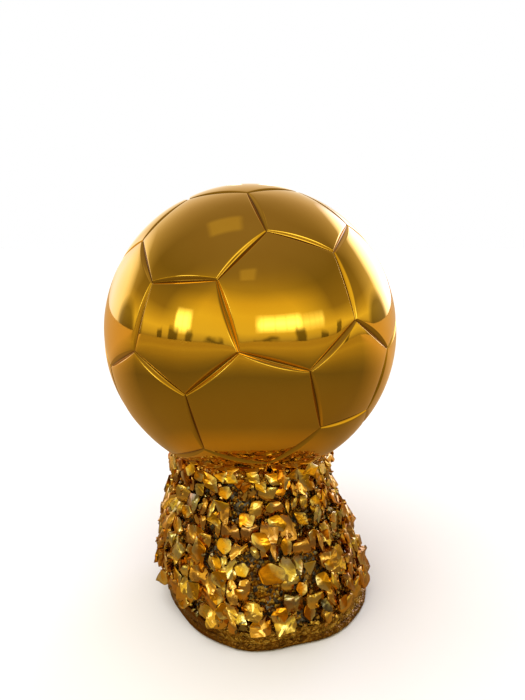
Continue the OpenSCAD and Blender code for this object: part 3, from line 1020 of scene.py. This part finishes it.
def light_studio():
    """A warm room for the metal to mirror, plain white where it is seen directly."""
    world = bpy.data.worlds.new("studio")
    bpy.context.scene.world = world
    world.use_nodes = True
    world.node_tree.nodes.clear()
    tree = Nodes(world.node_tree)
    seen = room_seen(tree, tree.add("ShaderNodeTexCoord").outputs["Generated"])
    ground = tree.add("ShaderNodeLightPath").outputs["Is Camera Ray"]
    colour = tree.mix(ground, seen, (1.0, 1.0, 1.0))
    shine = tree.add("ShaderNodeBackground", {"Color": colour, "Strength": 1.0})
    end = tree.add("ShaderNodeOutputWorld")
    tree.tree.links.new(shine.outputs[0], end.inputs["Surface"])


def hang_daylight():
    """An even soft daylight for the floor and the felt, unseen in the polished metal."""
    data = bpy.data.lights.new("daylight", "SUN")
    data.energy = 3.0
    data.angle = math.radians(70)
    daylight = bpy.data.objects.new("daylight", data)
    daylight.rotation_euler = (math.radians(12), math.radians(-10), 0)
    daylight.visible_glossy = False
    bpy.context.collection.objects.link(daylight)


def lay_floor():
    """Plain pale floor. In the polished metal it mirrors as a warm table top, with painted warm light right
    round the foot, painted shade out to about half a metre and painted light towards the back.
    """
    bpy.ops.object.select_all(action="DESELECT")
    bpy.ops.mesh.primitive_circle_add(vertices=96, radius=60.0, fill_type="NGON")
    floor = bpy.context.object
    floor.name = "floor"
    material, tree, shader, place = new_material("pale_floor", Roughness=0.8)
    cloud = tree.noise(place, 3, 3, 0.5)
    pale = tree.ramp(cloud, [(0.3, (0.86, 0.86, 0.86)), (0.7, (0.90, 0.90, 0.90))])
    reach = tree.add("ShaderNodeVectorMath", {0: place}, operation="LENGTH").outputs["Value"]
    # the table top as mirrored: painted warm light right round the foot, painted shade out to about half a
    # metre, lighter further out
    table_with_painted_light_and_shade = tree.ramp(tree.spread(reach, 0.0, 3.0), [
        (0.0, (0.34, 0.21, 0.06)), (0.030, (0.32, 0.20, 0.055)), (0.048, (0.16, 0.115, 0.055)),
        (0.16, (0.11, 0.085, 0.045)), (0.32, (0.24, 0.18, 0.06)), (0.6, (0.34, 0.26, 0.08)),
        (1.0, (0.30, 0.22, 0.07))])
    # painted light towards the back of the table top
    depth = tree.add("ShaderNodeSeparateXYZ", {"Vector": place}).outputs["Y"]
    table_with_painted_light_and_shade = tree.mix(tree.spread(depth, -0.02, 0.45), table_with_painted_light_and_shade, (0.50, 0.34, 0.16))
    glossy = tree.add("ShaderNodeLightPath").outputs["Is Glossy Ray"]
    plug(tree, shader, Base_Color=tree.mix(glossy, pale, table_with_painted_light_and_shade))
    shader.inputs["Specular IOR Level"].default_value = 0.1
    floor.data.materials.append(material)


# ---- put together -------------------------------------------------------

CHIP_SEED = 41
FRONT_SEED = 7


def model_chips_and_grit():
    """The chips of the CAD courses, those that stand out or lap over, and the grit."""
    draw = random.Random(CHIP_SEED)
    gilt = chip_gold("gilt_chips")
    grit = chip_gold("gilt_grit", 0.08)
    surface = rock_tree(courses + ["base_core", "foil_band"])
    core = rock_tree(["base_core"])
    patterns = chip_patterns()
    grains = grain_patterns(draw)
    front, cleared = front_chip_places(random.Random(FRONT_SEED), surface, patterns)
    for node in courses:
        finish_piece(model_course(node, draw, cleared), gilt, "chip_gold", node)
    finish_piece(gather("front_chips", front), gilt, "chip_gold")
    lapped = lapped_chip_places(draw, surface, patterns, cleared)
    finish_piece(gather("lapped_chips", lapped), gilt, "chip_gold")
    finish_piece(gather("collar_chips", collar_chip_places(draw, patterns)), gilt, "chip_gold")
    loose = loose_grain_places(draw, grains, surface, core)
    finish_piece(gather("loose_grains", loose), grit, "grit_gold")
    finish_piece(gather("collar_grains", collar_grain_places(draw, grains)), grit, "grit_gold")
    for pattern in [one for kind in patterns.values() for one in kind] + grains:
        bpy.data.objects.remove(pattern)


def model_rock_and_foot():
    """The pieces round the chips, each with its own crumpled or cast surface."""
    finish_piece(model_bed(), crevice_bed(), "core_resin", "base_core")
    foil = crumpled_foil("crumpled_foil", (0.20, 0.085, 0.010), (1.0, 0.68, 0.16), 1.0, bare=True)
    finish_piece(model_foil(), foil, "grit_gold", "foil_band")
    crumbs = crumpled_foil("gilt_crumbs", (0.30, 0.13, 0.015), (0.92, 0.56, 0.10), 1.0)
    finish_piece(model_collar(), crumbs, "grit_gold", "collar_grit")
    bronze = crumpled_foil("foot_bronze", (0.10, 0.045, 0.010), (0.46, 0.24, 0.045), 0.7, bare=True)
    finish_piece(model_foot(), bronze, "foot_bronze", "plinth_plate")


def dress_hidden_nodes():
    """Materials for the CAD nodes that stay as they are, inside and under the trophy."""
    steel = plain_metal("bright_steel", (0.42, 0.43, 0.45), (0.60, 0.61, 0.63), 0.22, 0.38, 300)
    brass = plain_metal("turned_brass", (0.56, 0.38, 0.12), (0.74, 0.54, 0.20), 0.20, 0.36, 250)
    iron = plain_metal("cast_ballast", (0.03, 0.03, 0.03), (0.09, 0.09, 0.09), 0.55, 0.8, 200)
    hidden = {"ball_joint_sleeve": brass, "ball_boss": brass, "boss_nut": steel, "tie_stud": steel,
              "locating_pin": steel, "seat_ring": bedding(), "plate_screws": steel,
              "ballast_disc": iron, "clamp_washer": steel, "spring_washer": steel,
              "lock_nut": steel, "felt_pad": felt()}
    for name, material in hidden.items():
        nodes[name].data.materials.clear()
        nodes[name].data.materials.append(material)


def main():
    place_camera()
    finish_piece(model_ball(), mirror_gold(), "ball_gold", "ball_upper_shell", "ball_lower_shell")
    model_chips_and_grit()
    model_rock_and_foot()
    dress_hidden_nodes()
    lay_floor()
    light_studio()
    hang_daylight()
    bpy.context.scene.view_settings.view_transform = "Standard"


main()
